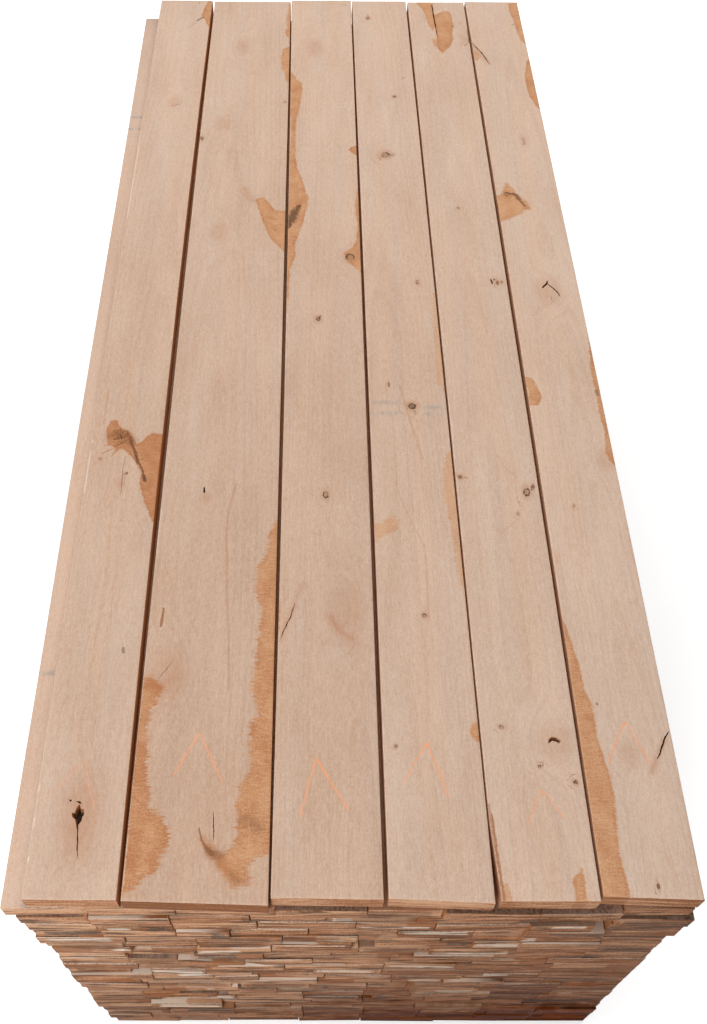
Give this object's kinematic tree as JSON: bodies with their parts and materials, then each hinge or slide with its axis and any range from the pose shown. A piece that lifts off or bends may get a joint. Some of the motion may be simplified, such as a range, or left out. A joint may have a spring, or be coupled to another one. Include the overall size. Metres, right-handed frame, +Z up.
{
  "type": "stack of lumber",
  "caption": "Dead-packed stack of rough-sawn pale hardwood boards of random width, wide boards on top, flush at one end and ragged at the other.",
  "frame": {"origin": "on the floor under the middle of the stack's box", "axes": "+Y along the boards, from the flush near end to the ragged far end; +Z up; +X to the right when looking along +Y"},
  "size_m": [1.0544, 2.482, 0.912],
  "materials": {
    "top_board_wood": "rough-sawn pale sapwood faces with brown heart stains, knots and small checks, unfinished",
    "packed_board_wood": "rough-sawn pale faces and edges, brown sawn end grain, unfinished"
  },
  "bodies": {
    "root": {"top_board_1": "top_board_wood", "top_board_2": "top_board_wood", "top_board_3": "top_board_wood", "top_board_4": "top_board_wood", "top_board_5": "top_board_wood", "top_board_6": "top_board_wood", "course_02": "packed_board_wood", "course_03": "packed_board_wood", "course_04": "packed_board_wood", "course_05": "packed_board_wood", "course_06": "packed_board_wood", "course_07": "packed_board_wood", "course_08": "packed_board_wood", "course_09": "packed_board_wood", "course_10": "packed_board_wood", "course_11": "packed_board_wood", "course_12": "packed_board_wood", "course_13": "packed_board_wood", "course_14": "packed_board_wood", "course_15": "packed_board_wood", "course_16": "packed_board_wood", "course_17": "packed_board_wood", "course_18": "packed_board_wood", "course_19": "packed_board_wood", "course_20": "packed_board_wood", "course_21": "packed_board_wood", "course_22": "packed_board_wood", "course_23": "packed_board_wood", "course_24": "packed_board_wood"}
  },
  "joints": []
}
